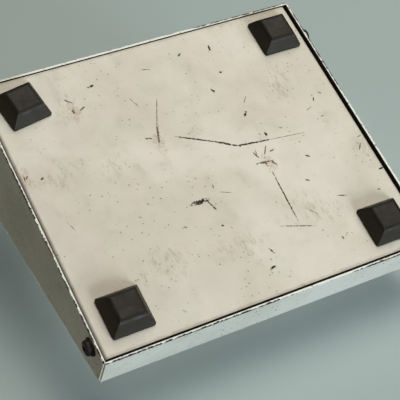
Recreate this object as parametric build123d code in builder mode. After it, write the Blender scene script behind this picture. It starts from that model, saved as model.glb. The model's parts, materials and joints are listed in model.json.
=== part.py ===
"""A compact floor effects board: a wedge of folded sheet steel on four rubber feet.

Millimetres, +Z up. The origin is on the floor, under the middle of the whole object.
The front is the low edge, at -Y. The sloped top is called the deck.
"""

from build123d import *
import os
from math import atan2, cos, degrees, radians, sin, tan

# ---- driving dimensions -------------------------------------------------------------
WIDTH = 171.5
DEPTH = 151.0
FRONT_HEIGHT = 19.5
REAR_HEIGHT = 70.5
SHEET = 1.0
DECK_BEND = 2.2
FOOT_SIZE = 20.6
FOOT_HEIGHT = 7.6
FOOT_TIP = 13.4
NUT_TURNING = 0.56  # a nut's corners are turned off at this share of its width across flats
NORMAL_MATCH = 0.01

RIM_REACH = 0.5  # the walls hang this far below the base plate
REAR_REACH = 5.2  # the jacks stand out this far behind the rear wall
PLATE_GAP_FRONT = 1.3
PLATE_GAP_REAR = 0.5
PLATE_GAP_LEFT = 1.3
PLATE_GAP_RIGHT = 0.4
CORNER_SEAM = 0.8

# ---- worked-out levels and planes ---------------------------------------------------
RIM_Z = FOOT_HEIGHT - RIM_REACH
PLATE_TOP_Z = FOOT_HEIGHT + SHEET
Y_FRONT = -(DEPTH + REAR_REACH) / 2
Y_REAR = Y_FRONT + DEPTH
SLOPE = atan2(REAR_HEIGHT - FRONT_HEIGHT, DEPTH)
PLATE_X = (-WIDTH / 2 + SHEET + PLATE_GAP_LEFT, WIDTH / 2 - SHEET - PLATE_GAP_RIGHT)
PLATE_Y = (Y_FRONT + SHEET + PLATE_GAP_FRONT, Y_REAR - SHEET - PLATE_GAP_REAR)

# ---- what stands where --------------------------------------------------------------
FOOTSWITCH_X = (-56.0, 0.0, 56.0)
FOOTSWITCH_S = 44.0  # measured up the slope from the deck's front edge
LED_S = 70.0
KNOB_X = (-57.0, -19.0, 19.0, 57.0)
KNOB_S = 114.0
KNOB_SETTINGS = (-35.0, 20.0, 62.0, -80.0)  # degrees clockwise from straight up the slope
JACK_X = (-4.0, 27.0, 58.0)
JACK_Z = 36.0
INLET_X = -64.0
ROCKER_X = -37.0
REAR_FITTING_Z = 40.0

FEET = {  # centre x, centre y, and the turn it was stuck on with, in degrees
    "foot_front_right": (67.2, Y_FRONT + 19.3, -0.3),
    "foot_front_left": (-66.9, Y_FRONT + 17.8, 0.3),
    "foot_rear_left": (-68.9, Y_FRONT + 133.9, -0.3),
    "foot_rear_right": (68.0, Y_FRONT + 133.5, -9.0),
}
SIDE_SCREW_Y = (Y_FRONT + 12.0, Y_REAR - 19.0)
SIDE_SCREW_Z = RIM_Z + 5.7

DECK = Plane(origin=(0, Y_FRONT, RIM_Z + FRONT_HEIGHT), x_dir=(1, 0, 0), z_dir=(0, -sin(SLOPE), cos(SLOPE)))


def on_deck(x, s, height=0.0):
    """A plane parallel to the deck: x across, s up the slope, height above its outer face."""
    return Plane(origin=DECK.from_local_coords((x, s, height)), x_dir=DECK.x_dir, z_dir=DECK.z_dir)


def on_rear(x, z, reach=0.0):
    """A plane parallel to the rear wall and facing backwards, reach behind its outer face."""
    return Plane(origin=(x, Y_REAR + reach, z), x_dir=(-1, 0, 0), z_dir=(0, 1, 0))


def on_side(side, y, z, reach=0.0):
    """A plane parallel to a side wall and facing outwards: side is +1 right, -1 left."""
    return Plane(origin=(side * (WIDTH / 2 + reach), y, z), x_dir=(0, side, 0), z_dir=(side, 0, 0))


def spun(plane, angle):
    """The same plane with its x direction turned by angle degrees about its normal."""
    turn = radians(angle)
    return Plane(
        origin=plane.origin,
        x_dir=plane.x_dir * cos(turn) + plane.y_dir * sin(turn),
        z_dir=plane.z_dir,
    )


def facing(part, z):
    """The part's faces whose outward normals have this Z component."""
    return part.faces().filter_by(lambda face: abs(face.normal_at().Z - z) < NORMAL_MATCH)


def far_face(part, plane):
    """The face that reaches furthest along a plane's normal."""
    return part.faces().sort_by(Axis(plane.origin, plane.z_dir))[-1]


def disc(plane, radius, height, hole=0.0):
    """A disc or ring standing on a plane."""
    with BuildPart() as made:
        with BuildSketch(plane):
            Circle(radius)
            if hole:
                Circle(hole, mode=Mode.SUBTRACT)
        extrude(amount=height)
    return made.part


def hex_nut(plane, across_flats, height, bore):
    """A hexagon nut with its outer corners turned off."""
    with BuildPart() as made:
        with BuildSketch(plane):
            RegularPolygon(across_flats / 2, 6, major_radius=False)
        extrude(amount=height)
        with BuildSketch(plane):
            Circle(across_flats * NUT_TURNING)
        extrude(amount=height, mode=Mode.INTERSECT)
        with BuildSketch(plane):
            Circle(bore)
        extrude(amount=height, mode=Mode.SUBTRACT)
    return made.part


def save(name, shape):
    """Labels a finished piece and writes it as its own STEP file."""
    shape.label = name
    export_step(shape, f"parts/{name}.step")


os.makedirs("parts", exist_ok=True)

# ---- shell: deck and four walls folded from one sheet --------------------------------
FOOTSWITCH_BUSH = 5.9
POT_BUSH = 3.4
LED_BEZEL = 3.9
JACK_BUSH = 4.7
INLET_BUSH = 5.4
HOLE_PLAY = 0.15
ROCKER_CUTOUT = (13.2, 19.4)
SCREW_SHANK = 1.95
THROUGH = 2 * SHEET  # deep enough to cut right through one wall


def wedge(inset):
    """The side outline of the shell, drawn in by inset everywhere but at the open rim."""
    front, rear = Y_FRONT + inset, Y_REAR - inset
    sink = inset / cos(SLOPE)
    front_top = RIM_Z + FRONT_HEIGHT + inset * tan(SLOPE) - sink
    rear_top = RIM_Z + REAR_HEIGHT - inset * tan(SLOPE) - sink
    return [(front, RIM_Z), (rear, RIM_Z), (rear, rear_top), (front, front_top)]


with BuildPart() as shell:
    with BuildSketch(Plane.YZ.offset(-WIDTH / 2)):
        Polygon(*wedge(0), align=None)
    extrude(amount=WIDTH)
    fillet(facing(shell, cos(SLOPE)).edges(), radius=DECK_BEND)
    with BuildSketch(Plane.YZ.offset(-WIDTH / 2 + SHEET)):
        Polygon(*wedge(SHEET), align=None)
    extrude(amount=WIDTH - 2 * SHEET, mode=Mode.SUBTRACT)
    fillet(facing(shell, -cos(SLOPE)).edges(), radius=DECK_BEND - SHEET)
    # The walls' ends meet at the corners in an open seam, up to the deck's bend.
    for x in (-WIDTH / 2, WIDTH / 2):
        for y, height in ((Y_FRONT, FRONT_HEIGHT), (Y_REAR, REAR_HEIGHT)):
            with BuildSketch(Plane.XY.offset(RIM_Z)):
                with Locations((x, y)):
                    Rectangle(2 * CORNER_SEAM, 2 * CORNER_SEAM)
            extrude(amount=height - DECK_BEND, mode=Mode.SUBTRACT)
    for x in FOOTSWITCH_X:
        with Locations(on_deck(x, FOOTSWITCH_S)):
            Hole(FOOTSWITCH_BUSH + HOLE_PLAY, depth=THROUGH)
        with Locations(on_deck(x, LED_S)):
            Hole(LED_BEZEL + HOLE_PLAY, depth=THROUGH)
    for x in KNOB_X:
        with Locations(on_deck(x, KNOB_S)):
            Hole(POT_BUSH + HOLE_PLAY, depth=THROUGH)
    for x in JACK_X:
        with Locations(on_rear(x, JACK_Z)):
            Hole(JACK_BUSH + HOLE_PLAY, depth=THROUGH)
    with Locations(on_rear(INLET_X, REAR_FITTING_Z)):
        Hole(INLET_BUSH + HOLE_PLAY, depth=THROUGH)
    with BuildSketch(on_rear(ROCKER_X, REAR_FITTING_Z)):
        Rectangle(*ROCKER_CUTOUT)
    extrude(amount=-THROUGH, mode=Mode.SUBTRACT)
    for side in (-1, 1):
        for y in SIDE_SCREW_Y:
            with Locations(on_side(side, y, SIDE_SCREW_Z)):
                Hole(SCREW_SHANK + HOLE_PLAY, depth=THROUGH)
save("shell", shell.part)

# ---- base plate: flat, with a flange turned up along each side -----------------------
FLANGE_TOP_Z = FOOT_HEIGHT + 12.0
FLANGE_BEND = 1.8
FLANGE_X = {1: PLATE_X[1], -1: PLATE_X[0]}
NUT_HOLE = 2.6

with BuildPart() as base_plate:
    with BuildSketch(Plane.XZ.offset(-PLATE_Y[0])):
        Polygon(
            (PLATE_X[0], FLANGE_TOP_Z),
            (PLATE_X[0], FOOT_HEIGHT),
            (PLATE_X[1], FOOT_HEIGHT),
            (PLATE_X[1], FLANGE_TOP_Z),
            (PLATE_X[1] - SHEET, FLANGE_TOP_Z),
            (PLATE_X[1] - SHEET, PLATE_TOP_Z),
            (PLATE_X[0] + SHEET, PLATE_TOP_Z),
            (PLATE_X[0] + SHEET, FLANGE_TOP_Z),
            align=None,
        )
    extrude(amount=-(PLATE_Y[1] - PLATE_Y[0]))
    fillet(base_plate.edges().filter_by(Axis.Y).group_by(Axis.Z)[1], radius=FLANGE_BEND - SHEET)
    fillet(base_plate.edges().filter_by(Axis.Y).group_by(Axis.Z)[0], radius=FLANGE_BEND)
    for side, edge_x in FLANGE_X.items():
        for y in SIDE_SCREW_Y:
            with Locations(Plane(origin=(edge_x, y, SIDE_SCREW_Z), z_dir=(side, 0, 0))):
                Hole(NUT_HOLE, depth=THROUGH)
save("base_plate", base_plate.part)

# ---- side screws, their washers, and the nuts clinched into the flanges --------------
SCREW_HEAD = 3.6
SCREW_HEAD_HEIGHT = 2.4
SCREW_LENGTH = 8.0
WASHER_RADIUS = 4.4
WASHER_HEIGHT = 0.8
HEX_SOCKET = 2.5
HEX_SOCKET_DEPTH = 1.1
SCREW_DOME = 1.1
CLINCH_REACH = 0.8  # how far the nut's collar fills its hole in the flange
CLINCH_NUT = 3.3
CLINCH_NUT_DEPTH = 3.0
THREAD_PLAY = 0.05

side_washers = []
side_screws = []
clinch_nuts = []
for side in (-1, 1):
    for y in SIDE_SCREW_Y:
        wall = on_side(side, y, SIDE_SCREW_Z)
        seat = on_side(side, y, SIDE_SCREW_Z, WASHER_HEIGHT)
        side_washers.append(disc(wall, WASHER_RADIUS, WASHER_HEIGHT, SCREW_SHANK + HOLE_PLAY))
        with BuildPart() as screw:
            with BuildSketch(seat):
                Circle(SCREW_HEAD)
            extrude(amount=SCREW_HEAD_HEIGHT)
            fillet(far_face(screw, seat).edges(), radius=SCREW_DOME)
            with BuildSketch(seat.offset(SCREW_HEAD_HEIGHT)):
                RegularPolygon(HEX_SOCKET / 2, 6, major_radius=False)
            extrude(amount=-HEX_SOCKET_DEPTH, mode=Mode.SUBTRACT)
            with BuildSketch(seat):
                Circle(SCREW_SHANK)
            extrude(amount=-SCREW_LENGTH)
        side_screws.append(screw.part)
        gap = WIDTH / 2 - abs(FLANGE_X[side])
        with BuildPart() as nut:
            with BuildSketch(wall.offset(-gap - SHEET)):
                Circle(CLINCH_NUT)
            extrude(amount=-CLINCH_NUT_DEPTH)
            with BuildSketch(wall.offset(-gap - SHEET)):
                Circle(NUT_HOLE)
            extrude(amount=CLINCH_REACH)
            with BuildSketch(wall.offset(-gap)):
                Circle(SCREW_SHANK + THREAD_PLAY)
            extrude(amount=-SHEET - CLINCH_NUT_DEPTH, mode=Mode.SUBTRACT)
        clinch_nuts.append(nut.part)
save("side_washers", Compound(children=side_washers))
save("side_screws", Compound(children=side_screws))
save("clinch_nuts", Compound(children=clinch_nuts))

# ---- rubber feet: a short plinth under a square taper with a rounded tip --------------
FOOT_PLINTH = 1.0
FOOT_CORNER = 1.2
FOOT_TIP_ROUND = 3.0
FOOT_SIDE = (
    (-FOOT_SIZE / 2, 0),
    (-FOOT_SIZE / 2, FOOT_PLINTH),
    (-FOOT_TIP / 2, FOOT_HEIGHT),
    (FOOT_TIP / 2, FOOT_HEIGHT),
    (FOOT_SIZE / 2, FOOT_PLINTH),
    (FOOT_SIZE / 2, 0),
)

for name, (x, y, turn) in FEET.items():
    hanging = spun(Plane(origin=(x, y, FOOT_HEIGHT), z_dir=(0, 0, -1)), -turn)
    across = Plane(origin=hanging.origin, x_dir=hanging.x_dir, z_dir=-hanging.y_dir)
    along = Plane(origin=hanging.origin, x_dir=hanging.y_dir, z_dir=hanging.x_dir)
    with BuildPart() as foot:
        with BuildSketch(hanging):
            RectangleRounded(FOOT_SIZE, FOOT_SIZE, FOOT_CORNER)
        extrude(amount=FOOT_HEIGHT)
        for side_view in (across, along):
            with BuildSketch(side_view) as profile:
                Polygon(*FOOT_SIDE, align=None)
                fillet(profile.vertices().sort_by(Axis.Y)[-2:], radius=FOOT_TIP_ROUND)
            extrude(amount=FOOT_SIZE / 2, both=True, mode=Mode.INTERSECT)
    save(name, foot.part)

# ---- footswitches: metal can and threaded bush, base with lugs, sprung plunger --------
CAN = (17.0, 17.6)
CAN_TOP = -SHEET - 2.0
CAN_HEIGHT = 13.0
BUSH_TOP = 7.5
PLUNGER_RADIUS = 3.9
PLUNGER_PLAY = 0.08
PLUNGER_CAP = 5.0
PLUNGER_TRAVEL = 3.0
PLUNGER_GAP = 3.4
CAP_HEIGHT = 4.5
CAP_ROUND = 2.0
BUSH_CHAMFER = 0.5
CAN_CORNER = 1.5
LUG_PITCH = 5.0
BASE_HEIGHT = 5.0
LUG = (2.0, 0.8, 3.6)
CAN_WALL = 1.0
PLUNGER_SHOE = 5.4

for number, x in enumerate(FOOTSWITCH_X, start=1):
    top = on_deck(x, FOOTSWITCH_S, CAN_TOP)
    bush_length = BUSH_TOP - CAN_TOP
    with BuildPart() as can:
        with BuildSketch(top):
            RectangleRounded(*CAN, radius=CAN_CORNER)
        extrude(amount=-CAN_HEIGHT)
        with BuildSketch(top.offset(-CAN_WALL)):
            Rectangle(CAN[0] - 2 * CAN_WALL, CAN[1] - 2 * CAN_WALL)
        extrude(amount=-CAN_HEIGHT, mode=Mode.SUBTRACT)
        with BuildSketch(top):
            Circle(FOOTSWITCH_BUSH)
        extrude(amount=bush_length)
        with BuildSketch(top.offset(bush_length)):
            Circle(PLUNGER_RADIUS + PLUNGER_PLAY)
        extrude(amount=-bush_length - 2 * CAN_WALL, mode=Mode.SUBTRACT)
        chamfer(far_face(can, top).edges().sort_by(SortBy.RADIUS)[-1], length=BUSH_CHAMFER)
    save(f"footswitch_can_{number}", can.part)

    with BuildPart() as base:
        with BuildSketch(top.offset(-CAN_HEIGHT)):
            Rectangle(*CAN)
        extrude(amount=-BASE_HEIGHT)
        with BuildSketch(top.offset(-CAN_HEIGHT - BASE_HEIGHT)):
            with GridLocations(LUG_PITCH, LUG_PITCH, 3, 3):
                Rectangle(LUG[0], LUG[1])
        extrude(amount=-LUG[2])
    save(f"footswitch_base_{number}", base.part)

    with BuildPart() as plunger:
        with BuildSketch(top.offset(bush_length + PLUNGER_GAP)):
            Circle(PLUNGER_CAP)
        extrude(amount=CAP_HEIGHT)
        fillet(far_face(plunger, top).edges(), radius=CAP_ROUND)
        with BuildSketch(top.offset(bush_length + PLUNGER_GAP)):
            Circle(PLUNGER_RADIUS)
        extrude(amount=-bush_length - PLUNGER_GAP - 2 * CAN_WALL)
        with BuildSketch(top.offset(-2 * CAN_WALL)):
            Circle(PLUNGER_SHOE)
        extrude(amount=-2 * CAN_WALL)
    save(f"footswitch_plunger_{number}", plunger.part)

FOOTSWITCH_WASHER = (8.5, 0.8)
FOOTSWITCH_NUT = (14.0, 2.6)
BUSH_HOLE = FOOTSWITCH_BUSH + THREAD_PLAY

footswitch_washers = [disc(on_deck(x, FOOTSWITCH_S), *FOOTSWITCH_WASHER, BUSH_HOLE) for x in FOOTSWITCH_X]
footswitch_nuts = [
    hex_nut(on_deck(x, FOOTSWITCH_S, FOOTSWITCH_WASHER[1]), *FOOTSWITCH_NUT, BUSH_HOLE) for x in FOOTSWITCH_X
]
save("footswitch_washers", Compound(children=footswitch_washers))
save("footswitch_nuts", Compound(children=footswitch_nuts))

# ---- potentiometers and knobs ----------------------------------------------------------
POT_RADIUS = 8.2
POT_TOP = -SHEET
POT_DEPTH = 8.6
POT_BUSH_TOP = 4.2
SHAFT_RADIUS = 3.0
SHAFT_PLAY = 0.06
SHAFT_TOP = 12.0
SHAFT_FOOT = 4.0
POT_NUT = (10.0, 2.0)
KNOB_FOOT = 0.9
KNOB_BODY_TOP = 8.0
KNOB_TOP = 15.0
KNOB_SKIRT = 11.0
KNOB_GRIP = 8.6
KNOB_FLUTES = 18
FLUTE = 0.75
FLUTE_OUT = 0.25
KNOB_HOLLOW = 6.4
KNOB_HOLLOW_TOP = 5.4
POINTER_WIDTH = 1.1
POINTER_DEPTH = 0.6
POINTER_LENGTH = 7.0

for number, (x, setting) in enumerate(zip(KNOB_X, KNOB_SETTINGS), start=1):
    seat = on_deck(x, KNOB_S)
    turned = spun(seat, -setting)
    with BuildPart() as pot_body:
        with BuildSketch(seat.offset(POT_TOP)):
            Circle(POT_RADIUS)
        extrude(amount=-POT_DEPTH)
        with BuildSketch(seat.offset(POT_TOP)):
            Circle(POT_BUSH)
        extrude(amount=POT_BUSH_TOP - POT_TOP)
        with BuildSketch(seat.offset(POT_BUSH_TOP)):
            Circle(SHAFT_RADIUS + SHAFT_PLAY)
        extrude(amount=POT_TOP - POT_BUSH_TOP - SHAFT_FOOT - SHAFT_PLAY, mode=Mode.SUBTRACT)
    save(f"pot_body_{number}", pot_body.part)

    with BuildPart() as pot_shaft:
        with BuildSketch(seat.offset(POT_TOP - SHAFT_FOOT)):
            Circle(SHAFT_RADIUS)
        extrude(amount=SHAFT_FOOT - POT_TOP + SHAFT_TOP)
    save(f"pot_shaft_{number}", pot_shaft.part)

    with BuildPart() as knob:
        with BuildSketch(turned.offset(KNOB_FOOT)):
            Circle(KNOB_SKIRT)
        extrude(amount=KNOB_BODY_TOP - KNOB_FOOT, taper=degrees(atan2(KNOB_SKIRT - KNOB_GRIP, KNOB_BODY_TOP)))
        with BuildSketch(turned.offset(KNOB_BODY_TOP)):
            Circle(KNOB_GRIP)
            with PolarLocations(KNOB_GRIP + FLUTE_OUT, KNOB_FLUTES):
                Circle(FLUTE, mode=Mode.SUBTRACT)
        extrude(amount=KNOB_TOP - KNOB_BODY_TOP)
        with BuildSketch(turned.offset(KNOB_TOP)):
            with Locations((0, KNOB_GRIP - POINTER_LENGTH / 2)):
                Rectangle(POINTER_WIDTH, POINTER_LENGTH)
        extrude(amount=-POINTER_DEPTH, mode=Mode.SUBTRACT)
        with BuildSketch(turned):
            Circle(KNOB_HOLLOW)
        extrude(amount=KNOB_HOLLOW_TOP, mode=Mode.SUBTRACT)
        with BuildSketch(turned):
            Circle(SHAFT_RADIUS)
        extrude(amount=SHAFT_TOP, mode=Mode.SUBTRACT)
    save(f"knob_{number}", knob.part)

save(
    "pot_nuts",
    Compound(children=[hex_nut(on_deck(x, KNOB_S), *POT_NUT, POT_BUSH + THREAD_PLAY) for x in KNOB_X]),
)

# ---- status lights: clear lens in a metal bezel -----------------------------------------
LED_RADIUS = 2.5
LED_TOP = 2.6
LED_FOOT = -7.0
LED_ROUND = 2.2
LEG = 0.5
LEG_PITCH = 2.54
CONTROL_BOARD_TOP = POT_TOP - POT_DEPTH
BEZEL_LIP = 5.0
BEZEL_LIP_HEIGHT = 1.4
BEZEL_FOOT = -6.0
BEZEL_ROUND = 1.0

led_bezels = []
for number, x in enumerate(FOOTSWITCH_X, start=1):
    seat = on_deck(x, LED_S)
    with BuildPart() as led:
        with BuildSketch(seat.offset(LED_FOOT)):
            Circle(LED_RADIUS)
        extrude(amount=LED_TOP - LED_FOOT)
        fillet(far_face(led, seat).edges(), radius=LED_ROUND)
        with BuildSketch(seat.offset(LED_FOOT)):
            with GridLocations(LEG_PITCH, 1, 2, 1):
                Rectangle(LEG, LEG)
        extrude(amount=CONTROL_BOARD_TOP - LED_FOOT)
    save(f"led_{number}", led.part)

    with BuildPart() as bezel:
        with BuildSketch(seat):
            Circle(BEZEL_LIP)
        extrude(amount=BEZEL_LIP_HEIGHT)
        fillet(far_face(bezel, seat).edges(), radius=BEZEL_ROUND)
        with BuildSketch(seat):
            Circle(LED_BEZEL)
        extrude(amount=BEZEL_FOOT)
        with BuildSketch(seat.offset(BEZEL_LIP_HEIGHT)):
            Circle(LED_RADIUS + THREAD_PLAY)
        extrude(amount=BEZEL_FOOT - BEZEL_LIP_HEIGHT, mode=Mode.SUBTRACT)
    led_bezels.append(bezel.part)
save("led_bezels", Compound(children=led_bezels))

# ---- rear jacks: moulded body with a threaded nose, washer and nut ----------------------
JACK_BODY = (18.0, 19.0)
JACK_DEPTH = 25.0
JACK_BORE = 3.25
JACK_WASHER = (7.2, 0.7)
JACK_NUT = (12.7, 2.4)

for number, x in enumerate(JACK_X, start=1):
    inner = on_rear(x, JACK_Z, -SHEET)
    with BuildPart() as jack:
        with BuildSketch(inner):
            RectangleRounded(*JACK_BODY, radius=1.0)
        extrude(amount=-JACK_DEPTH)
        with BuildSketch(inner):
            Circle(JACK_BUSH)
        extrude(amount=SHEET + REAR_REACH)
        with BuildSketch(inner.offset(SHEET + REAR_REACH)):
            Circle(JACK_BORE)
        extrude(amount=-SHEET - REAR_REACH - JACK_DEPTH, mode=Mode.SUBTRACT)
    save(f"jack_{number}", jack.part)

save(
    "jack_washers",
    Compound(children=[disc(on_rear(x, JACK_Z), *JACK_WASHER, JACK_BUSH + THREAD_PLAY) for x in JACK_X]),
)
save(
    "jack_nuts",
    Compound(
        children=[
            hex_nut(on_rear(x, JACK_Z, JACK_WASHER[1]), *JACK_NUT, JACK_BUSH + THREAD_PLAY) for x in JACK_X
        ]
    ),
)

# ---- power inlet: flanged barrel socket with its centre pin, and its nut -----------------
INLET_FLANGE = 7.0
INLET_FLANGE_HEIGHT = 1.6
INLET_CHAMFER = 0.5
INLET_DEPTH = 16.0
INLET_BORE = 2.85
INLET_BORE_DEPTH = 10.0
INLET_PIN = 1.05
INLET_NUT = (14.0, 2.4)

with BuildPart() as dc_inlet:
    with BuildSketch(on_rear(INLET_X, REAR_FITTING_Z)):
        Circle(INLET_FLANGE)
    extrude(amount=INLET_FLANGE_HEIGHT)
    chamfer(dc_inlet.faces().sort_by(Axis.Y)[-1].edges(), length=INLET_CHAMFER)
    with BuildSketch(on_rear(INLET_X, REAR_FITTING_Z)):
        Circle(INLET_BUSH)
    extrude(amount=-INLET_DEPTH)
    with BuildSketch(on_rear(INLET_X, REAR_FITTING_Z, INLET_FLANGE_HEIGHT)):
        Circle(INLET_BORE)
    extrude(amount=-INLET_FLANGE_HEIGHT - INLET_BORE_DEPTH, mode=Mode.SUBTRACT)
save("dc_inlet", dc_inlet.part)
save(
    "dc_inlet_pin",
    disc(on_rear(INLET_X, REAR_FITTING_Z, -INLET_BORE_DEPTH), INLET_PIN, INLET_BORE_DEPTH),
)
save(
    "dc_inlet_nut",
    hex_nut(on_rear(INLET_X, REAR_FITTING_Z, -SHEET - INLET_NUT[1]), *INLET_NUT, INLET_BUSH + THREAD_PLAY),
)

# ---- power switch: rocker on trunnions in a flanged housing -------------------------------
HOUSING_FLANGE = (15.4, 21.6, 1.8)
HOUSING_DEPTH = 14.0
HOUSING_PLAY = 0.1
WELL = (9.4, 13.4, 11.0)
PIVOT_DEPTH = 2.4
ROCKER_RADIUS = 6.4
ROCKER_WIDTH = 8.8
ROCKER_TILT = 12.0
ROCKER_TIP_ANGLE = 62.0  # from the outward direction to each end of the rocker's face
ROCKER_TAIL_ANGLE = 125.0
ROCKER_HOLLOW = 1.6  # the face's middle stands this far out from the pivot
TRUNNION = 1.2
TRUNNION_PLAY = 0.05
TRUNNION_LENGTH = 1.2

with BuildPart() as rocker_housing:
    with BuildSketch(on_rear(ROCKER_X, REAR_FITTING_Z)):
        RectangleRounded(HOUSING_FLANGE[0], HOUSING_FLANGE[1], radius=1.0)
    extrude(amount=HOUSING_FLANGE[2])
    with BuildSketch(on_rear(ROCKER_X, REAR_FITTING_Z)):
        Rectangle(ROCKER_CUTOUT[0] - 2 * HOUSING_PLAY, ROCKER_CUTOUT[1] - 2 * HOUSING_PLAY)
    extrude(amount=-HOUSING_DEPTH)
    with BuildSketch(on_rear(ROCKER_X, REAR_FITTING_Z, HOUSING_FLANGE[2])):
        Rectangle(WELL[0], WELL[1])
    extrude(amount=-WELL[2], mode=Mode.SUBTRACT)
    pivot = Plane(
        origin=(ROCKER_X, Y_REAR + HOUSING_FLANGE[2] - PIVOT_DEPTH, REAR_FITTING_Z),
        x_dir=(0, 1, 0),
        z_dir=(1, 0, 0),
    )
    with BuildSketch(pivot):
        Circle(TRUNNION + TRUNNION_PLAY)
    extrude(amount=WELL[0] / 2 + TRUNNION_LENGTH, both=True, mode=Mode.SUBTRACT)
save("rocker_housing", rocker_housing.part)


def from_pivot(angle):
    """A point on the rocker's rim, angle degrees round from its outward direction."""
    return ROCKER_RADIUS * cos(radians(angle)), ROCKER_RADIUS * sin(radians(angle))


with BuildPart() as rocker:
    tilted = spun(pivot, -ROCKER_TILT)
    with BuildSketch(tilted.offset(-ROCKER_WIDTH / 2)):
        tip = from_pivot(ROCKER_TIP_ANGLE)
        tail = from_pivot(ROCKER_TAIL_ANGLE)
        with BuildLine():
            Polyline((tip[0], -tip[1]), (ROCKER_HOLLOW, 0), tip)
            ThreePointArc(tip, (0, ROCKER_RADIUS), tail)
            Line(tail, (tail[0], -tail[1]))
            ThreePointArc((tail[0], -tail[1]), (0, -ROCKER_RADIUS), (tip[0], -tip[1]))
        make_face()
    extrude(amount=ROCKER_WIDTH)
    with BuildSketch(pivot.offset(-WELL[0] / 2 - TRUNNION_LENGTH + TRUNNION_PLAY)):
        Circle(TRUNNION)
    extrude(amount=WELL[0] + 2 * TRUNNION_LENGTH - 2 * TRUNNION_PLAY)
save("rocker", rocker.part)

# ---- circuit boards and what is on them ---------------------------------------------------
BOARD = 1.6
MAIN_BOARD = (148.0, 62.0)
MAIN_BOARD_Y = Y_REAR - 42.0
STANDOFF = 5.0
STANDOFF_RADIUS = 2.75
BOARD_SCREW = 1.4
BOARD_SCREW_HEAD = (2.6, 1.6)
BOARD_SCREW_PITCH = (138.0, 52.0)
MAIN_BOARD_Z = PLATE_TOP_Z + STANDOFF
CHIP = (7.6, 10.2, 3.4)
CHIP_PITCH = (24.0, 16.0)
CHIP_ROWS_Y = 8.0
CAPACITORS_Y = 10.0
CAPACITOR = (3.2, 7.0)
CAPACITOR_PITCH = 14.0
CONTROL_BOARD = (146.0, 62.0)
CONTROL_BOARD_S = 96.0

with BuildPart() as main_board:
    with BuildSketch(Plane.XY.offset(MAIN_BOARD_Z)):
        with Locations((0, MAIN_BOARD_Y)):
            RectangleRounded(*MAIN_BOARD, radius=2.0)
            with GridLocations(*BOARD_SCREW_PITCH, 2, 2):
                Circle(BOARD_SCREW + THREAD_PLAY, mode=Mode.SUBTRACT)
    extrude(amount=BOARD)
save("main_board", main_board.part)

with BuildPart() as board_standoffs:
    with BuildSketch(Plane.XY.offset(PLATE_TOP_Z)):
        with Locations((0, MAIN_BOARD_Y)):
            with GridLocations(*BOARD_SCREW_PITCH, 2, 2):
                Circle(STANDOFF_RADIUS)
                Circle(BOARD_SCREW + THREAD_PLAY, mode=Mode.SUBTRACT)
    extrude(amount=STANDOFF)
save("board_standoffs", board_standoffs.part)

with BuildPart() as board_screws:
    with BuildSketch(Plane.XY.offset(MAIN_BOARD_Z + BOARD)):
        with Locations((0, MAIN_BOARD_Y)):
            with GridLocations(*BOARD_SCREW_PITCH, 2, 2):
                Circle(BOARD_SCREW_HEAD[0])
    extrude(amount=BOARD_SCREW_HEAD[1])
    with BuildSketch(Plane.XY.offset(MAIN_BOARD_Z + BOARD)):
        with Locations((0, MAIN_BOARD_Y)):
            with GridLocations(*BOARD_SCREW_PITCH, 2, 2):
                Circle(BOARD_SCREW)
    extrude(amount=-BOARD - STANDOFF * 0.8)
save("board_screws", board_screws.part)

with BuildPart() as board_chips:
    with BuildSketch(Plane.XY.offset(MAIN_BOARD_Z + BOARD)):
        with Locations((0, MAIN_BOARD_Y + CHIP_ROWS_Y)):
            with GridLocations(*CHIP_PITCH, 5, 2):
                Rectangle(CHIP[0], CHIP[1])
    extrude(amount=CHIP[2])
save("board_chips", board_chips.part)

with BuildPart() as board_capacitors:
    with BuildSketch(Plane.XY.offset(MAIN_BOARD_Z + BOARD)):
        with Locations((0, MAIN_BOARD_Y - CAPACITORS_Y)):
            with GridLocations(CAPACITOR_PITCH, 1, 8, 1):
                Circle(CAPACITOR[0])
    extrude(amount=CAPACITOR[1])
save("board_capacitors", board_capacitors.part)

with BuildPart() as control_board:
    with BuildSketch(on_deck(0, CONTROL_BOARD_S, CONTROL_BOARD_TOP)):
        RectangleRounded(*CONTROL_BOARD, radius=2.0)
    extrude(amount=-BOARD)
save("control_board", control_board.part)

# ---- flat cables held inside -----------------------------------------------------------------
CABLE = 1.0
BOARD_CABLE_WIDTH = 25.4
SWITCH_CABLE_WIDTH = 8.0
REAR_CABLE_WIDTH = 5.0
CABLE_BEND = 3.0
JACK_TAG_DROP = 6.0
CABLE_START = 3.8  # each cable leaves its fitting straight for this far
BOARD_CABLE_END_S = 108.0
BOARD_CABLE_RISE = 14.0
BOARD_CABLE_FOOT = 18.0
SWITCH_CABLE_FOOT = 4.0
SWITCH_CABLE_RISE = 7.0


def flat_cable(x, width, route):
    """A flat cable of one width across X, laid along a route of (y, z) points with round bends."""
    with BuildPart() as made:
        with BuildLine(Plane.YZ.offset(x)) as centre:
            FilletPolyline(*route, radius=CABLE_BEND)
        with BuildSketch(Plane(origin=centre.line @ 0, x_dir=(1, 0, 0), z_dir=centre.line % 0)):
            Rectangle(width, CABLE)
        sweep(path=centre.line)
    return made.part


def under_control_board(s):
    """The y and z of a point on the control board's underside, s up the slope."""
    point = DECK.from_local_coords((0, s, CONTROL_BOARD_TOP - BOARD))
    return point.Y, point.Z


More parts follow.
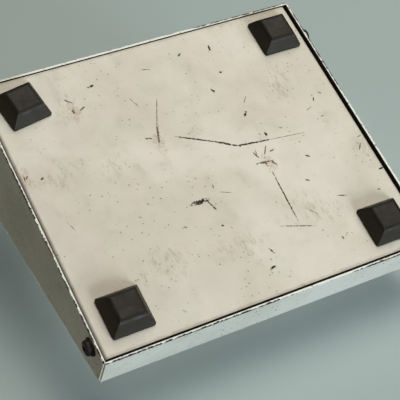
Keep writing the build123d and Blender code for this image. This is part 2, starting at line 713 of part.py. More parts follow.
BOARD_TOP_Z = MAIN_BOARD_Z + BOARD
board_cable_foot_y = MAIN_BOARD_Y - BOARD_CABLE_FOOT
board_cable_start = under_control_board(BOARD_CABLE_END_S)
board_cable_route = [
    board_cable_start,
    (board_cable_start[0] + CABLE_START * sin(SLOPE), board_cable_start[1] - CABLE_START * cos(SLOPE)),
    (board_cable_foot_y, BOARD_TOP_Z + BOARD_CABLE_RISE),
    (board_cable_foot_y, BOARD_TOP_Z),
]
save("board_cable", flat_cable(0, BOARD_CABLE_WIDTH, board_cable_route))

SWITCH_DEPTH = CAN_TOP - CAN_HEIGHT - BASE_HEIGHT - LUG[2]
switch_cable_foot_y = MAIN_BOARD_Y - MAIN_BOARD[1] / 2 + SWITCH_CABLE_FOOT
switch_cables = []
for x in FOOTSWITCH_X:
    lug = DECK.from_local_coords((x, FOOTSWITCH_S, SWITCH_DEPTH))
    route = [
        (lug.Y, lug.Z),
        (lug.Y + CABLE_START * sin(SLOPE), lug.Z - CABLE_START * cos(SLOPE)),
        (switch_cable_foot_y - SWITCH_CABLE_FOOT, BOARD_TOP_Z + SWITCH_CABLE_RISE),
        (switch_cable_foot_y, BOARD_TOP_Z + SWITCH_CABLE_FOOT),
        (switch_cable_foot_y, BOARD_TOP_Z),
    ]
    switch_cables.append(flat_cable(x, SWITCH_CABLE_WIDTH, route))
save("switch_cables", Compound(children=switch_cables))

# The rear fittings' cables drop between the two rows of chips.
rear_cable_foot_y = MAIN_BOARD_Y + CHIP_ROWS_Y
rear_cable_ends = [(x, Y_REAR - SHEET - JACK_DEPTH, JACK_Z - JACK_TAG_DROP) for x in JACK_X]
rear_cable_ends.append((INLET_X, Y_REAR - INLET_DEPTH, REAR_FITTING_Z))
rear_cable_ends.append((ROCKER_X, Y_REAR - HOUSING_DEPTH, REAR_FITTING_Z))
rear_cables = []
for x, y, z in rear_cable_ends:
    route = [(y, z), (rear_cable_foot_y, z), (rear_cable_foot_y, BOARD_TOP_Z)]
    rear_cables.append(flat_cable(x, REAR_CABLE_WIDTH, route))
save("rear_cables", Compound(children=rear_cables))
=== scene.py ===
"""A worn off-white floor effects board, seen from below on a pale studio surface.

Lengths in the materials are millimetres; everything else is in metres, in the frame's own axes.
"""

import json
import math
import random

import bmesh
import bpy
from mathutils import Matrix, Vector


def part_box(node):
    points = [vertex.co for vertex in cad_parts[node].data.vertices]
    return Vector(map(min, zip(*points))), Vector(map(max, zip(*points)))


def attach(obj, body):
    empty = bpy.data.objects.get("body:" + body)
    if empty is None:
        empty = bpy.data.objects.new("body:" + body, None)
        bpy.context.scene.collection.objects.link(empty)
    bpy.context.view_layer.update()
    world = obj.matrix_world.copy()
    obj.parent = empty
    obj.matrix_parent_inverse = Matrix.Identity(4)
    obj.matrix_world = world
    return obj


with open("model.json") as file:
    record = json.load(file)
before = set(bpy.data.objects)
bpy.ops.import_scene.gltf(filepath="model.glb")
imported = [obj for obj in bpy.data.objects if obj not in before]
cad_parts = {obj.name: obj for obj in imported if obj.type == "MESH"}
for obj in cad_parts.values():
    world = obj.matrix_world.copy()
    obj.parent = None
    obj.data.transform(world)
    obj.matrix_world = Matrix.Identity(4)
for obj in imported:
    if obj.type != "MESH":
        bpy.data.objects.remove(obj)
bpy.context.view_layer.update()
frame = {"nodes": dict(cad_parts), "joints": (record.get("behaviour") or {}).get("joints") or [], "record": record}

MM = 0.001
SHELL_LOW, SHELL_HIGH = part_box("shell")
PLATE_LOW, PLATE_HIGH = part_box("base_plate")
JOINTS = {joint["name"]: joint for joint in frame["joints"]}
FAR_AWAY = 1000.0  # mm
SHEET = 1.0  # mm, the thickness of the shell's metal
KNOBS = (1, 2, 3, 4)
FOOTSWITCHES = (1, 2, 3)
DECK_DOWN = Vector(JOINTS["knob_1_turn"]["axis"])
DECK_NORMAL = -DECK_DOWN
DECK_RIGHT = Vector((1, 0, 0))
DECK_UP = DECK_NORMAL.cross(DECK_RIGHT)


# ---- node graphs ------------------------------------------------------------------------


class Graph:
    """One material's node graph, with a method for each kind of step it needs."""

    def __init__(self, name):
        self.material = bpy.data.materials.new(name)
        self.material.use_nodes = True
        self.tree = self.material.node_tree
        self.shader = self.tree.nodes["Principled BSDF"]
        coordinates = self.tree.nodes.new("ShaderNodeTexCoord")
        self.place = self.vector("SCALE", coordinates.outputs["Object"], scale=1 / MM)

    def put(self, socket, value):
        if isinstance(value, bpy.types.NodeSocket):
            self.tree.links.new(value, socket)
        else:
            socket.default_value = value

    def math(self, operation, *values, clamp=False):
        node = self.tree.nodes.new("ShaderNodeMath")
        node.operation = operation
        node.use_clamp = clamp
        for socket, value in zip(node.inputs, values):
            self.put(socket, value)
        return node.outputs[0]

    def vector(self, operation, *values, scale=None):
        node = self.tree.nodes.new("ShaderNodeVectorMath")
        node.operation = operation
        for socket, value in zip(node.inputs, values):
            self.put(socket, value)
        if scale is not None:
            self.put(node.inputs["Scale"], scale)
        return node.outputs["Value" if operation in ("DOT_PRODUCT", "DISTANCE") else "Vector"]

    def axes(self):
        node = self.tree.nodes.new("ShaderNodeSeparateXYZ")
        self.put(node.inputs[0], self.place)
        return node.outputs[0], node.outputs[1], node.outputs[2]

    def stretched(self, scale, turn=0.0):
        """The place in mm, turned about Z by turn degrees and then scaled along each axis."""
        node = self.tree.nodes.new("ShaderNodeMapping")
        node.vector_type = "POINT"
        self.put(node.inputs["Vector"], self.place)
        node.inputs["Rotation"].default_value = (0, 0, math.radians(turn))
        node.inputs["Scale"].default_value = scale
        return node.outputs[0]

    def noise(self, size, detail=4.0, roughness=0.55, distortion=0.0, where=None):
        """Noise whose blotches are about size mm across, from 0 to 1."""
        node = self.tree.nodes.new("ShaderNodeTexNoise")
        self.put(node.inputs["Vector"], self.place if where is None else where)
        node.inputs["Scale"].default_value = 1 / size
        node.inputs["Detail"].default_value = detail
        node.inputs["Roughness"].default_value = roughness
        node.inputs["Distortion"].default_value = distortion
        return node.outputs["Fac"]

    def fade(self, value, start, end, low=0.0, high=1.0):
        """low at start and beyond it, high at end and beyond it, and a smooth step between them."""
        node = self.tree.nodes.new("ShaderNodeMapRange")
        node.interpolation_type = "SMOOTHSTEP"
        self.put(node.inputs["Value"], value)
        node.inputs["From Min"].default_value = min(start, end)
        node.inputs["From Max"].default_value = max(start, end)
        node.inputs["To Min"].default_value = low if start < end else high
        node.inputs["To Max"].default_value = high if start < end else low
        return node.outputs["Result"]

    def mix(self, share, first, second):
        node = self.tree.nodes.new("ShaderNodeMix")
        node.data_type = "RGBA"
        self.put(node.inputs["Factor"], share)
        self.put(node.inputs["A"], first)
        self.put(node.inputs["B"], second)
        return node.outputs["Result"]

    def most(self, first, *others):
        for mask in others:
            first = self.math("MAXIMUM", first, mask)
        return first

    def strokes(self, marks, wander=1.0, soft=0.2):
        """A mask of tapered marks, each (start, end, half width) in mm. wander, about 1, makes them ragged.

        Each mark is one stretched ball, which fades to nothing at twice its half width.
        """
        strongest = 0.0
        for start, end, half_width in marks:
            a, b = Vector(start).to_3d(), Vector(end).to_3d()
            depth = half_width if len(start) == 3 else FAR_AWAY
            node = self.tree.nodes.new("ShaderNodeTexGradient")
            node.gradient_type = "SPHERICAL"
            self.put(node.inputs["Vector"], self.place)
            ball = node.texture_mapping
            ball.vector_type = "TEXTURE"
            ball.translation = (a + b) / 2
            ball.rotation = (b - a).to_track_quat("X", "Z").to_euler()
            ball.scale = ((b - a).length + 2 * half_width, 2 * half_width, 2 * depth)
            strongest = self.math("MAXIMUM", strongest, node.outputs["Fac"])
        return self.fade(self.math("MULTIPLY", strongest, wander), 0.5 - soft / 2, 0.5 + soft / 2)

    def ticks(self, spacing, length, width, share, seed=0.0):
        """Scratches at random places and angles, on a share of the cells that are spacing mm across."""
        shifted = self.vector("ADD", self.place, (seed, seed, seed))
        node = self.tree.nodes.new("ShaderNodeTexVoronoi")
        self.put(node.inputs["Vector"], shifted)
        node.inputs["Scale"].default_value = 1 / spacing
        offset = self.vector("SUBTRACT", shifted, node.outputs["Position"])
        aim = self.vector("NORMALIZE", self.vector("SUBTRACT", node.outputs["Color"], (0.5, 0.5, 0.5)))
        along = self.vector("DOT_PRODUCT", offset, aim)
        across = self.vector("DISTANCE", offset, self.vector("SCALE", aim, scale=along))
        split = self.tree.nodes.new("ShaderNodeSeparateColor")
        self.put(split.inputs[0], node.outputs["Color"])
        chosen = self.fade(split.outputs[0], 1 - share, 1 - share + 0.05)
        reach = self.math("MULTIPLY", split.outputs[1], length / 2)
        inside = self.fade(self.math("DIVIDE", self.math("ABSOLUTE", along), reach), 1.0, 0.7)
        thin = self.fade(across, width * 0.5, width * 0.25)
        return self.both(self.both(chosen, inside), thin)

    def both(self, first, second):
        return self.math("MULTIPLY", first, second)

    def bump(self, height, distance):
        """Bump whose height of 1 stands distance mm above its height of 0."""
        node = self.tree.nodes.new("ShaderNodeBump")
        node.inputs["Strength"].default_value = 1.0
        node.inputs["Distance"].default_value = distance * MM
        self.put(node.inputs["Height"], height)
        self.put(self.shader.inputs["Normal"], node.outputs[0])

    def least(self, first, *others):
        for value in others:
            first = self.math("MINIMUM", first, value)
        return first

    def finish(self, color, roughness, **constants):
        self.put(self.shader.inputs["Base Color"], color)
        self.put(self.shader.inputs["Roughness"], roughness)
        for name, value in constants.items():
            self.shader.inputs[name.replace("_", " ")].default_value = value
        return self.material


def linear(channel):
    """One channel of a screen colour, from 0 to 255, without its sRGB curve."""
    share = channel / 255
    return share / 12.92 if share <= 0.04045 else ((share + 0.055) / 1.055) ** 2.4


def shade(red, green, blue):
    return (linear(red), linear(green), linear(blue), 1.0)


DARK_CHIP = shade(34, 25, 16)
# Painted shade: the colour given to the shell's inner faces, which show through the gaps beside the base plate.
INSIDE_PAINTED_SHADE = shade(38, 32, 25)
RUST = shade(122, 80, 44)
GRIME = shade(120, 108, 86)


# ---- worn enamel ---------------------------------------------------------------------------


def wall_depths(graph):
    """How far a point is behind the nearer side, the front, the rear and the deck's outer face, in mm."""
    x, y, _ = graph.axes()
    slope_offset = DECK_NORMAL.dot(Vector((0, SHELL_HIGH.y, SHELL_HIGH.z))) / MM
    return (
        graph.math("SUBTRACT", SHELL_HIGH.x / MM, graph.math("ABSOLUTE", x)),
        graph.math("SUBTRACT", y, SHELL_LOW.y / MM),
        graph.math("SUBTRACT", SHELL_HIGH.y / MM, y),
        graph.math("SUBTRACT", slope_offset, graph.vector("DOT_PRODUCT", graph.place, DECK_NORMAL)),
    )


def edge_nearness(graph, distances, reach):
    """1 where two of the distances are 0, falling to 0 at reach mm from there."""
    total = -1.0
    for distance in distances:
        near = graph.math("SUBTRACT", 1.0, graph.math("DIVIDE", distance, reach), clamp=True)
        total = graph.math("ADD", total, near)
    return graph.math("MAXIMUM", total, 0.0)


def enamel(name, fresh, aged):
    """Old off-white enamel over steel: its graph, its colour, and the clouds that its gloss follows."""
    graph = Graph(name)
    color = graph.mix(graph.fade(graph.noise(38, detail=5, roughness=0.6), 0.38, 0.66), fresh, aged)
    clouds = graph.noise(9, detail=6, roughness=0.65, distortion=0.6)
    color = graph.mix(graph.fade(clouds, 0.56, 0.8, high=0.25), color, GRIME)
    return graph, color, clouds


def enamel_finish(graph, color, clouds, bare, pits):
    """Adds an enamel's gloss, its orange peel and the depth of its pits. Bare metal is duller."""
    rough = graph.fade(clouds, 0.3, 0.8, low=0.34, high=0.55)
    rough = graph.math("MAXIMUM", rough, graph.math("MULTIPLY", bare, 0.8))
    orange_peel = graph.math("MULTIPLY", graph.noise(0.9, detail=4, roughness=0.7), 0.12)
    graph.bump(graph.math("SUBTRACT", orange_peel, pits), 0.12)
    return graph.finish(color, rough)


RIGHT, LEFT = SHELL_HIGH.x / MM, SHELL_LOW.x / MM
FRONT, REAR = SHELL_LOW.y / MM, SHELL_HIGH.y / MM
RIM = SHELL_LOW.z / MM
# Where the shell's edges are chipped most, as (start, end, half width).
WORN_STRETCHES = (
    ((RIGHT, FRONT, RIM), (0, FRONT, RIM), 3),
    ((0.5 * LEFT, FRONT, RIM), (LEFT, FRONT, RIM), 2),
    ((RIGHT, 0.5 * FRONT, RIM), (RIGHT, 0.5 * REAR, RIM), 3),
    ((RIGHT, FRONT, RIM), (RIGHT, 0.6 * FRONT, RIM), 2),
    ((0.4 * LEFT, REAR, RIM), (LEFT, REAR, RIM), 3),
    ((LEFT, 0.9 * REAR, RIM), (LEFT, 0.2 * REAR, RIM), 4),
)
CORNER_SCRATCHES = (
    ((RIGHT, FRONT, RIM), (RIGHT, FRONT, RIM + 20), 0.6),
    ((LEFT, FRONT, RIM), (LEFT, FRONT, RIM + 12), 0.5),
)


CHIP_REACH = 0.7
# How near an edge has to be, from 0 to 1, before it is chipped: where it is sound, and where it is worn.
SOUND_LIMIT = 1.08
WORN_LIMIT = 0.33


def shell_enamel():
    graph, color, clouds = enamel("shell_enamel", shade(217, 217, 208), shade(204, 204, 192))
    depths = wall_depths(graph)
    height = graph.math("SUBTRACT", graph.axes()[2], SHELL_LOW.z / MM)
    # Painted highlight: the shell's cut rim, within about 0.25 mm of its edge, is painted a brighter cream, as if
    # it caught the light.
    rim_highlight = graph.fade(height, 0.25, 0.05)
    color = graph.mix(rim_highlight, color, shade(243, 240, 230))
    ragged = graph.noise(1.3, detail=5, roughness=0.7)
    jagged = graph.fade(ragged, 0.3, 0.7, low=-0.45, high=0.45)
    near = graph.math("ADD", edge_nearness(graph, (*depths, height), CHIP_REACH), jagged)
    broken = graph.fade(graph.noise(6, detail=4, roughness=0.7), 0.38, 0.5)
    worn = graph.both(graph.strokes(WORN_STRETCHES), broken)
    limit = graph.math("MULTIPLY_ADD", worn, WORN_LIMIT - SOUND_LIMIT, SOUND_LIMIT)
    chipped = graph.fade(graph.math("SUBTRACT", near, limit), 0.0, 0.1)
    grimy = graph.fade(graph.math("SUBTRACT", near, limit), -0.6, 0.3, high=0.35)
    nicks = graph.most(
        graph.ticks(spacing=2.8, length=4.0, width=0.75, share=0.45),
        graph.ticks(spacing=8.0, length=9.0, width=0.6, share=0.45, seed=31),
        graph.ticks(spacing=5.5, length=3.4, width=0.9, share=0.35, seed=77),
    )
    patchy = graph.most(graph.fade(graph.noise(22, detail=3), 0.40, 0.60, low=0.2), graph.fade(height, 9, 3))
    nicks = graph.both(graph.both(nicks, patchy), 0.85)
    bare = graph.most(chipped, nicks, graph.strokes(CORNER_SCRATCHES, broken))
    color = graph.mix(grimy, color, GRIME)
    rusty = graph.fade(graph.noise(9, detail=3), 0.54, 0.64, high=0.8)
    color = graph.mix(bare, color, graph.mix(rusty, DARK_CHIP, RUST))
    # Painted shade: the shell's inner faces, deeper than the sheet, are painted near-black brown, so the gaps
    # beside the base plate read as dark shade.
    skin = graph.least(*depths)
    inside = graph.both(graph.fade(skin, 0.9 * SHEET, 0.98 * SHEET), graph.fade(height, 0.02, 0.3))
    color = graph.mix(inside, color, INSIDE_PAINTED_SHADE)
    return enamel_finish(graph, color, clouds, bare, bare)


def chained(points, half_widths):
    """One long mark through these points, as the straight marks that strokes takes."""
    return [(*ends, half_width) for *ends, half_width in zip(points, points[1:], half_widths)]


def scattered(seed, count, length, half_width, spots=None, spread=0.0):
    """Short marks at random angles, anywhere on the base plate or within spread mm of one of the spots."""
    dice = random.Random(seed)
    marks = []
    for _ in range(count):
        x = dice.uniform(PLATE_LOW.x, PLATE_HIGH.x) / MM
        y = dice.uniform(PLATE_LOW.y, PLATE_HIGH.y) / MM
        if spots:
            spot = dice.choice(spots)
            x, y = (middle + dice.uniform(-spread, spread) for middle in spot)
        turn = dice.uniform(0, math.pi)
        reach = length * dice.uniform(0.2, 1.0)
        end = (x + reach * math.cos(turn), y + reach * math.sin(turn))
        marks.append(((x, y), end, half_width * dice.uniform(0.6, 1.2)))
    return marks


# The base plate's larger marks, in mm from the middle of the board.
LONG_SCRATCH = chained(((5, 16), (-10, 8), (-20, 2), (-36, 0), (-55, -2)), (0.4, 0.5, 0.45, 0.13))
RUST_END_SCRATCH = chained(((5, 40), (12, 25), (15, 16)), (0.17, 0.5))
FRONT_SCRATCH = ((-29, -18), (-28, -42), 0.35)
CROSS_SCRATCH = ((-20, -45), (-34, -50), 0.22)
HOOK_CHIP = chained(((15, -20), (8, -20), (6, -26)), (1.1, 0.35))
RUST_SPOTS = ((-30, -10), (15, 18), (46, 47), (81, 20))
DARK_MARKS = [
    *LONG_SCRATCH,
    RUST_END_SCRATCH[0],
    FRONT_SCRATCH,
    CROSS_SCRATCH,
    *HOOK_CHIP,
    *scattered(seed=4, count=20, length=2.5, half_width=0.5),
    *scattered(seed=9, count=12, length=7.0, half_width=0.22),
]
RUSTY_MARKS = [
    RUST_END_SCRATCH[1],
    *scattered(seed=12, count=7, length=7.0, half_width=0.5, spots=RUST_SPOTS[:1], spread=4.0),
    *scattered(seed=14, count=6, length=3.5, half_width=0.5, spots=RUST_SPOTS[1:], spread=4.0),
]
STAIN_LENGTH = 5
STAIN_HALF_WIDTH = 2.5
RUST_STAINS = [((x, y), (x, y - STAIN_LENGTH), STAIN_HALF_WIDTH) for x, y in RUST_SPOTS]
SMUDGES = scattered(seed=21, count=11, length=14.0, half_width=7.0)
PLATE_EDGE_REACH = 2.5


def plate_edge(graph):
    """1 on the base plate's outline, falling to 0 a little way in."""
    x, y, _ = graph.axes()
    inside = graph.math("SUBTRACT", x, PLATE_LOW.x / MM)
    for value, edge, sign in ((x, PLATE_HIGH.x, -1), (y, PLATE_LOW.y, 1), (y, PLATE_HIGH.y, -1)):
        side = graph.math("MULTIPLY_ADD", value, sign, -sign * edge / MM)
        inside = graph.math("MINIMUM", inside, side)
    return graph.math("SUBTRACT", 1.0, graph.math("DIVIDE", inside, PLATE_EDGE_REACH), clamp=True)


def plate_enamel():
    graph, color, clouds = enamel("plate_enamel", shade(224, 216, 203), shade(211, 205, 187))
    pinkish = graph.fade(graph.noise(47, detail=3), 0.42, 0.6, high=0.55)
    color = graph.mix(pinkish, color, shade(213, 199, 187))
    fine = graph.noise(1.3, detail=5, roughness=0.75)
    wander = graph.fade(fine, 0.3, 0.7, low=0.5, high=1.5)
    cloudy = graph.fade(graph.noise(3.2, detail=7, roughness=0.85), 0.3, 0.7, low=0.1, high=1.9)
    streaky = graph.noise(2.2, detail=6, roughness=0.8, where=graph.stretched((1.0, 0.3, 1.0), 20))
    smudged = graph.both(graph.strokes(SMUDGES, cloudy, soft=0.7), graph.fade(streaky, 0.46, 0.66))
    color = graph.mix(graph.both(smudged, 0.5), color, shade(150, 132, 98))
    stains = graph.both(graph.strokes(RUST_STAINS, cloudy, soft=0.6), graph.fade(fine, 0.38, 0.6, low=0.15))
    color = graph.mix(graph.both(stains, 0.55), color, shade(170, 132, 84))
    patchy = graph.fade(graph.noise(18, detail=3), 0.44, 0.60, low=0.15)
    hairlines = graph.most(
        graph.ticks(spacing=11.0, length=20.0, width=0.5, share=0.6, seed=11),
        graph.ticks(spacing=19.0, length=40.0, width=0.45, share=0.6, seed=57),
    )
    color = graph.mix(graph.both(hairlines, 0.5), color, shade(134, 118, 92))
    nicks = graph.most(
        graph.ticks(spacing=2.8, length=3.4, width=0.6, share=0.35, seed=3),
        graph.ticks(spacing=4.5, length=6.5, width=0.65, share=0.5, seed=23),
        graph.ticks(spacing=6.5, length=2.6, width=1.1, share=0.25, seed=41),
    )
    nicks = graph.both(nicks, patchy)
    color = graph.mix(graph.both(nicks, 0.85), color, shade(110, 92, 62))
    color = graph.mix(graph.strokes(RUSTY_MARKS, wander), color, shade(80, 44, 18))
    bare = graph.strokes(DARK_MARKS, wander)
    # Darker and browner within 2.5 mm of the base plate's outline, ragged by noise.
    darker_near_outline = graph.fade(graph.math("ADD", plate_edge(graph), graph.noise(5, detail=5)), 0.8, 1.5, high=0.4)
    color = graph.mix(bare, graph.mix(darker_near_outline, color, GRIME), DARK_CHIP)
    return enamel_finish(graph, color, clouds, bare, graph.both(nicks, 0.5))


# ---- the other materials ---------------------------------------------------------------------


def foot_rubber():
    graph = Graph("foot_rubber")
    dust = graph.noise(5, detail=6, roughness=0.7)
    grain = graph.noise(0.35, detail=3)
    scuffs = graph.ticks(spacing=2.5, length=2.4, width=0.35, share=0.35)
    color = graph.mix(graph.fade(dust, 0.35, 0.75, high=0.5), shade(24, 17, 7), shade(46, 38, 22))
    color = graph.mix(graph.both(scuffs, 0.4), color, shade(104, 98, 84))
    graph.bump(graph.math("ADD", grain, dust), 0.08)
    rough = graph.fade(dust, 0.3, 0.7, low=0.4, high=0.62)
    return graph.finish(color, rough, Specular_IOR_Level=0.3)


def worn_metal(name, color, worn, roughness, grain=0.5, metallic=1.0):
    """Metal with fine brushing and faint duller clouds."""
    graph = Graph(name)
    clouds = graph.noise(3, detail=5)
    brushing = graph.noise(grain, detail=3, where=graph.stretched((1, 1, 8)))
    tint = graph.mix(graph.fade(clouds, 0.4, 0.7, high=0.6), color, worn)
    graph.bump(brushing, 0.03)
    rough = graph.fade(clouds, 0.3, 0.7, low=roughness, high=min(1.0, roughness + 0.22))
    return graph.finish(tint, rough, Metallic=metallic)


def moulded(name, color, dusty, roughness, grain=0.4):
    """Plastic, resin board or paint with a fine grain and a little dust."""
    graph = Graph(name)
    dust = graph.noise(4, detail=6, roughness=0.7)
    texture = graph.noise(grain, detail=2)
    tint = graph.mix(graph.fade(dust, 0.45, 0.75, high=0.5), color, dusty)
    graph.bump(texture, 0.03)
    return graph.finish(tint, graph.fade(dust, 0.3, 0.7, low=roughness, high=min(1.0, roughness + 0.2)))


def led_resin():
    graph = Graph("led_resin")
    swirl = graph.noise(1.2, detail=3)
    tint = graph.mix(graph.fade(swirl, 0.3, 0.7, high=0.5), shade(168, 26, 18), shade(120, 12, 10))
    graph.bump(swirl, 0.02)
    rough = graph.fade(swirl, 0.3, 0.7, low=0.08, high=0.16)
    return graph.finish(tint, rough, Transmission_Weight=0.4, IOR=1.5)


MATERIALS = {
    "shell_paint": shell_enamel(),
    "plate_paint": plate_enamel(),
    "foot_rubber": foot_rubber(),
    "black_screw": worn_metal("black_screw", shade(26, 25, 24), shade(52, 48, 44), 0.42, metallic=0.3),
    "zinc_steel": worn_metal("zinc_steel", shade(168, 168, 164), shade(132, 128, 118), 0.34),
    "bright_metal": worn_metal("bright_metal", shade(206, 204, 198), shade(150, 144, 130), 0.16),
    "phenolic": moulded("phenolic", shade(112, 58, 34), shade(128, 84, 58), 0.5),
    "knob_plastic": moulded("knob_plastic", shade(24, 24, 25), shade(70, 68, 64), 0.36),
    "led_resin": led_resin(),
    "board_laminate": moulded("board_laminate", shade(26, 84, 48), shade(40, 98, 62), 0.4, grain=1.5),
    "cable_jacket": moulded("cable_jacket", shade(150, 150, 148), shade(120, 118, 112), 0.5),
    "black_plastic": moulded("black_plastic", shade(28, 28, 29), shade(66, 64, 60), 0.4),
}
POINTER_PAINT = moulded("pointer_paint", shade(226, 222, 208), shade(178, 170, 150), 0.45)
DIAL_PAINT = moulded("dial_paint", shade(46, 46, 48), shade(88, 86, 80), 0.5)

for part in frame["record"]["subparts"]:
    node = frame["nodes"][part["node"]]
    node.data.materials.clear()
    node.data.materials.append(MATERIALS[part["material_slot"]])


# ---- pieces -------------------------------------------------------------------------------------


def add_piece(name, mesh_builder, material, body):
    """Makes an object from a bmesh that mesh_builder fills in, and puts it on a CAD body."""
    mesh = bpy.data.meshes.new(name)
    builder = bmesh.new()
    mesh_builder(builder)
    bmesh.ops.recalc_face_normals(builder, faces=builder.faces)
    builder.to_mesh(mesh)
    builder.free()
    mesh.materials.append(material)
    piece = bpy.data.objects.new(name, mesh)
    bpy.context.scene.collection.objects.link(piece)
    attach(piece, body)


def deck_matrix(origin, turn):
    """A frame on the deck: x across, y up the slope, z out, turned clockwise by turn degrees."""
    basis = Matrix((DECK_RIGHT, DECK_UP, DECK_NORMAL)).transposed().to_4x4()
    return Matrix.Translation(origin) @ basis @ Matrix.Rotation(math.radians(-turn), 4, "Z")


def rounded_bar(builder, matrix, width, length, height, corner):
    """A flat bar with rounded ends, lying on the matrix's plane and centred on its origin."""
    steps = 6
    outline = []
    for end in (1, -1):
        for step in range(steps + 1):
            angle = math.pi * step / steps
            x = math.cos(angle) * width / 2
            y = length / 2 - corner + math.sin(angle) * corner
            outline.append((end * x, end * y))
    bottom = [builder.verts.new(matrix @ Vector((x, y, 0))) for x, y in outline]
    top = [builder.verts.new(matrix @ Vector((x, y, height))) for x, y in outline]
    builder.faces.new(top)
    builder.faces.new(bottom[::-1])
    for i in range(len(outline)):
        j = (i + 1) % len(outline)
        builder.faces.new((bottom[i], bottom[j], top[j], top[i]))


KNOB_TURN_START = -150.0
DIAL_STEPS = 10
DIAL_RADIUS = 14.2 * MM
TICK_WIDTH = 0.9 * MM
TICK_LENGTH = 2.6 * MM
PRINT_HEIGHT = 0.06 * MM
POINTER_WIDTH = 0.9 * MM
POINTER_LENGTH = 6.4 * MM
POINTER_OUT = 5.0 * MM
POINTER_DEPTH = 0.5 * MM


def knob_setting(number):
    """The angle in degrees, clockwise from straight up the slope, that a knob stands at."""
    return KNOB_TURN_START - JOINTS[f"knob_{number}_turn"]["range_deg"][0]


def knob_top(number):
    """How far a knob's top stands above the deck."""
    centre = Vector(JOINTS[f"knob_{number}_turn"]["pos_m"])
    vertices = frame["nodes"][f"knob_{number}"].data.vertices
    return max(DECK_NORMAL.dot(vertex.co - centre) for vertex in vertices)


for number in KNOBS:
    centre = Vector(JOINTS[f"knob_{number}_turn"]["pos_m"])

    def dial(builder):
        for step in range(DIAL_STEPS + 1):
            angle = KNOB_TURN_START + step * 2 * abs(KNOB_TURN_START) / DIAL_STEPS
            turned = deck_matrix(centre, angle) @ Matrix.Translation((0, DIAL_RADIUS, 0))
            rounded_bar(builder, turned, TICK_WIDTH, TICK_LENGTH, PRINT_HEIGHT, TICK_WIDTH / 2)

    def pointer(builder):
        lift = knob_top(number) - POINTER_DEPTH + PRINT_HEIGHT
        turned = deck_matrix(centre, knob_setting(number)) @ Matrix.Translation((0, POINTER_OUT, lift))
        rounded_bar(builder, turned, POINTER_WIDTH, POINTER_LENGTH, POINTER_DEPTH, POINTER_WIDTH / 2)

    add_piece(f"dial_marks_{number}", dial, DIAL_PAINT, "chassis")
    add_piece(f"knob_pointer_{number}", pointer, POINTER_PAINT, f"control_{number}")


# ---- camera ----------------------------------------------------------------------------------------

LENS = 113.4  # mm, with Blender's own sensor width
CAMERA_AIM = Vector((10.8, -19.0, 7.6)) * MM
CAMERA_DISTANCE = 0.578
CAMERA_AZIMUTH = 43.06
CAMERA_ELEVATION = -56.42
CAMERA_ROLL = -160.35


def direction(azimuth, elevation):
    """The unit vector to azimuth degrees round from -Y and elevation degrees above the horizon."""
    a, e = math.radians(azimuth), math.radians(elevation)
    return Vector((math.sin(a) * math.cos(e), -math.cos(a) * math.cos(e), math.sin(e)))


def look_along(thing, back, roll=0.0):
    """Turns a camera or lamp so that it looks against back, rolled by roll degrees."""
    thing.rotation_mode = "QUATERNION"
    turned = (-back).to_track_quat("-Z", "Y").to_matrix() @ Matrix.Rotation(math.radians(roll), 3, "Z")
    thing.rotation_quaternion = turned.to_quaternion()


camera = bpy.data.objects.new("camera", bpy.data.cameras.new("camera"))
bpy.context.scene.collection.objects.link(camera)
camera.data.lens = LENS
camera.data.clip_start = 0.01
camera.location = CAMERA_AIM + direction(CAMERA_AZIMUTH, CAMERA_ELEVATION) * CAMERA_DISTANCE
look_along(camera, direction(CAMERA_AZIMUTH, CAMERA_ELEVATION), CAMERA_ROLL)
bpy.context.scene.camera = camera

# ---- the surfaces it stands or lies on --------------------------------------------------------------
# Turned over, the object lies on its controls: the table touches them and is seen only from below. The
# other is the studio floor under its feet, which curves up into a wall and is seen only from above.

TABLE_SIZE = 3.0
FLOOR_RADIUS = 1.2
SWEEP_RADIUS = 0.6
WALL_HEIGHT = 2.4
SWEEP_STEPS = 12
FLOOR_SIDES = 96


def stage_surface():
    graph = Graph("stage_surface")
    clouds = graph.noise(160, detail=2)
    color = graph.mix(clouds, shade(180, 197, 199), shade(186, 201, 202))
    graph.finish(color, graph.fade(clouds, 0, 1, low=0.6, high=0.7))
    tree = graph.tree
    clear = tree.nodes.new("ShaderNodeBsdfTransparent")
    geometry = tree.nodes.new("ShaderNodeNewGeometry")
    either = tree.nodes.new("ShaderNodeMixShader")
    graph.put(either.inputs[0], geometry.outputs["Backfacing"])
    graph.put(either.inputs[1], graph.shader.outputs[0])
    graph.put(either.inputs[2], clear.outputs[0])
    graph.put(tree.nodes["Material Output"].inputs["Surface"], either.outputs[0])
    return graph.material


STAGE_MATERIAL = stage_surface()


def add_stage(name, points, faces):
    """A one-sided surface, which hides nothing from the side behind it and blocks no light."""
    mesh = bpy.data.meshes.new(name)
    mesh.from_pydata(points, [], faces)
    mesh.materials.append(STAGE_MATERIAL)
    mesh.polygons.foreach_set("use_smooth", [True] * len(mesh.polygons))
    surface = bpy.data.objects.new(name, mesh)
    bpy.context.scene.collection.objects.link(surface)
    surface.visible_shadow = False
    surface.visible_diffuse = False
    surface.visible_glossy = False


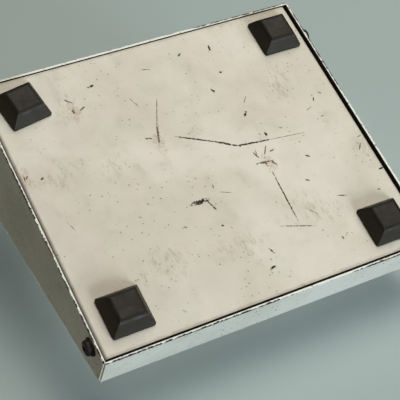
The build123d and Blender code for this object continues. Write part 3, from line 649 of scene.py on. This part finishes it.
def add_floor():
    profile = [(FLOOR_RADIUS, 0.0)]
    for step in range(1, SWEEP_STEPS + 1):
        angle = math.pi / 2 * step / SWEEP_STEPS
        rise = SWEEP_RADIUS * (1 - math.cos(angle))
        profile.append((FLOOR_RADIUS + SWEEP_RADIUS * math.sin(angle), rise))
    profile.append((FLOOR_RADIUS + SWEEP_RADIUS, WALL_HEIGHT))
    turns = [2 * math.pi * side / FLOOR_SIDES for side in range(FLOOR_SIDES)]
    points = [(r * math.cos(turn), r * math.sin(turn), z) for r, z in profile for turn in turns]
    faces = [tuple(range(FLOOR_SIDES))]
    for ring in range(len(profile) - 1):
        inner, outer = ring * FLOOR_SIDES, (ring + 1) * FLOOR_SIDES
        for i in range(FLOOR_SIDES):
            j = (i + 1) % FLOOR_SIDES
            faces.append((inner + i, outer + i, outer + j, inner + j))
    add_stage("floor", points, faces)


def deck_outline(names):
    """How far up the deck's slope and how far out from it each vertex of these nodes is."""
    vertices = [vertex.co for name in names for vertex in frame["nodes"][name].data.vertices]
    return [(DECK_UP.dot(place), DECK_NORMAL.dot(place)) for place in vertices]


def climb(low, high):
    """How steeply the line from low to high leaves the deck."""
    return (high[1] - low[1]) / (high[0] - low[0])


def add_table():
    """Turned over, the object rests on its footswitches and tips back until its knobs touch too."""
    plungers = deck_outline([f"footswitch_plunger_{number}" for number in FOOTSWITCHES])
    knobs = deck_outline([f"knob_{number}" for number in KNOBS])
    tallest = max(plungers, key=lambda point: point[1])
    rear = max(knobs, key=lambda point: climb(tallest, point))
    front = min(plungers, key=lambda point: climb(point, rear))
    origin, beyond = (DECK_UP * along + DECK_NORMAL * out for along, out in (front, rear))
    lengthwise = (beyond - origin).normalized()
    corners = ((-1, -1), (-1, 1), (1, 1), (1, -1))
    points = [origin + (DECK_RIGHT * x + lengthwise * y) * TABLE_SIZE / 2 for x, y in corners]
    add_stage("table", points, [(0, 1, 2, 3)])


add_floor()
add_table()

# ---- light ---------------------------------------------------------------------------------------------


DAYLIGHT = (0.8, 0.92, 0.97)
WARM = (1.0, 0.95, 0.83)
AMBER = (1.0, 0.86, 0.44)
SURROUNDINGS = (0.9, 0.97, 1.0, 1.0)
SURROUNDINGS_BRIGHTNESS = 0.1


def soft_lamp(name, toward, distance, size, brightness, color=(1, 1, 1)):
    """A square lamp. White paper at the origin, facing it, would be as bright as brightness says."""
    lamp = bpy.data.objects.new(name, bpy.data.lights.new(name, "AREA"))
    bpy.context.scene.collection.objects.link(lamp)
    lamp.data.size = size
    lamp.data.energy = brightness * (math.pi * distance) ** 2
    lamp.data.color = color
    lamp.location = toward.normalized() * distance
    look_along(lamp, toward)


soft_lamp("window", Vector((-0.25, -0.85, -0.35)), distance=1.4, size=0.7, brightness=1.0, color=DAYLIGHT)
soft_lamp("ceiling", Vector((-0.5, 0.62, -1.15)), distance=1.2, size=0.95, brightness=0.66, color=WARM)
soft_lamp("bounce", Vector((1.0, 0.1, -0.1)), distance=1.3, size=0.8, brightness=0.095, color=AMBER)
soft_lamp("key_above", Vector((-0.3, 0.45, 1.0)), distance=1.5, size=0.9, brightness=0.7)

world = bpy.data.worlds.new("world")
bpy.context.scene.world = world
world.use_nodes = True
world.node_tree.nodes["Background"].inputs["Color"].default_value = SURROUNDINGS
world.node_tree.nodes["Background"].inputs["Strength"].default_value = SURROUNDINGS_BRIGHTNESS

bpy.context.scene.view_settings.view_transform = "Standard"
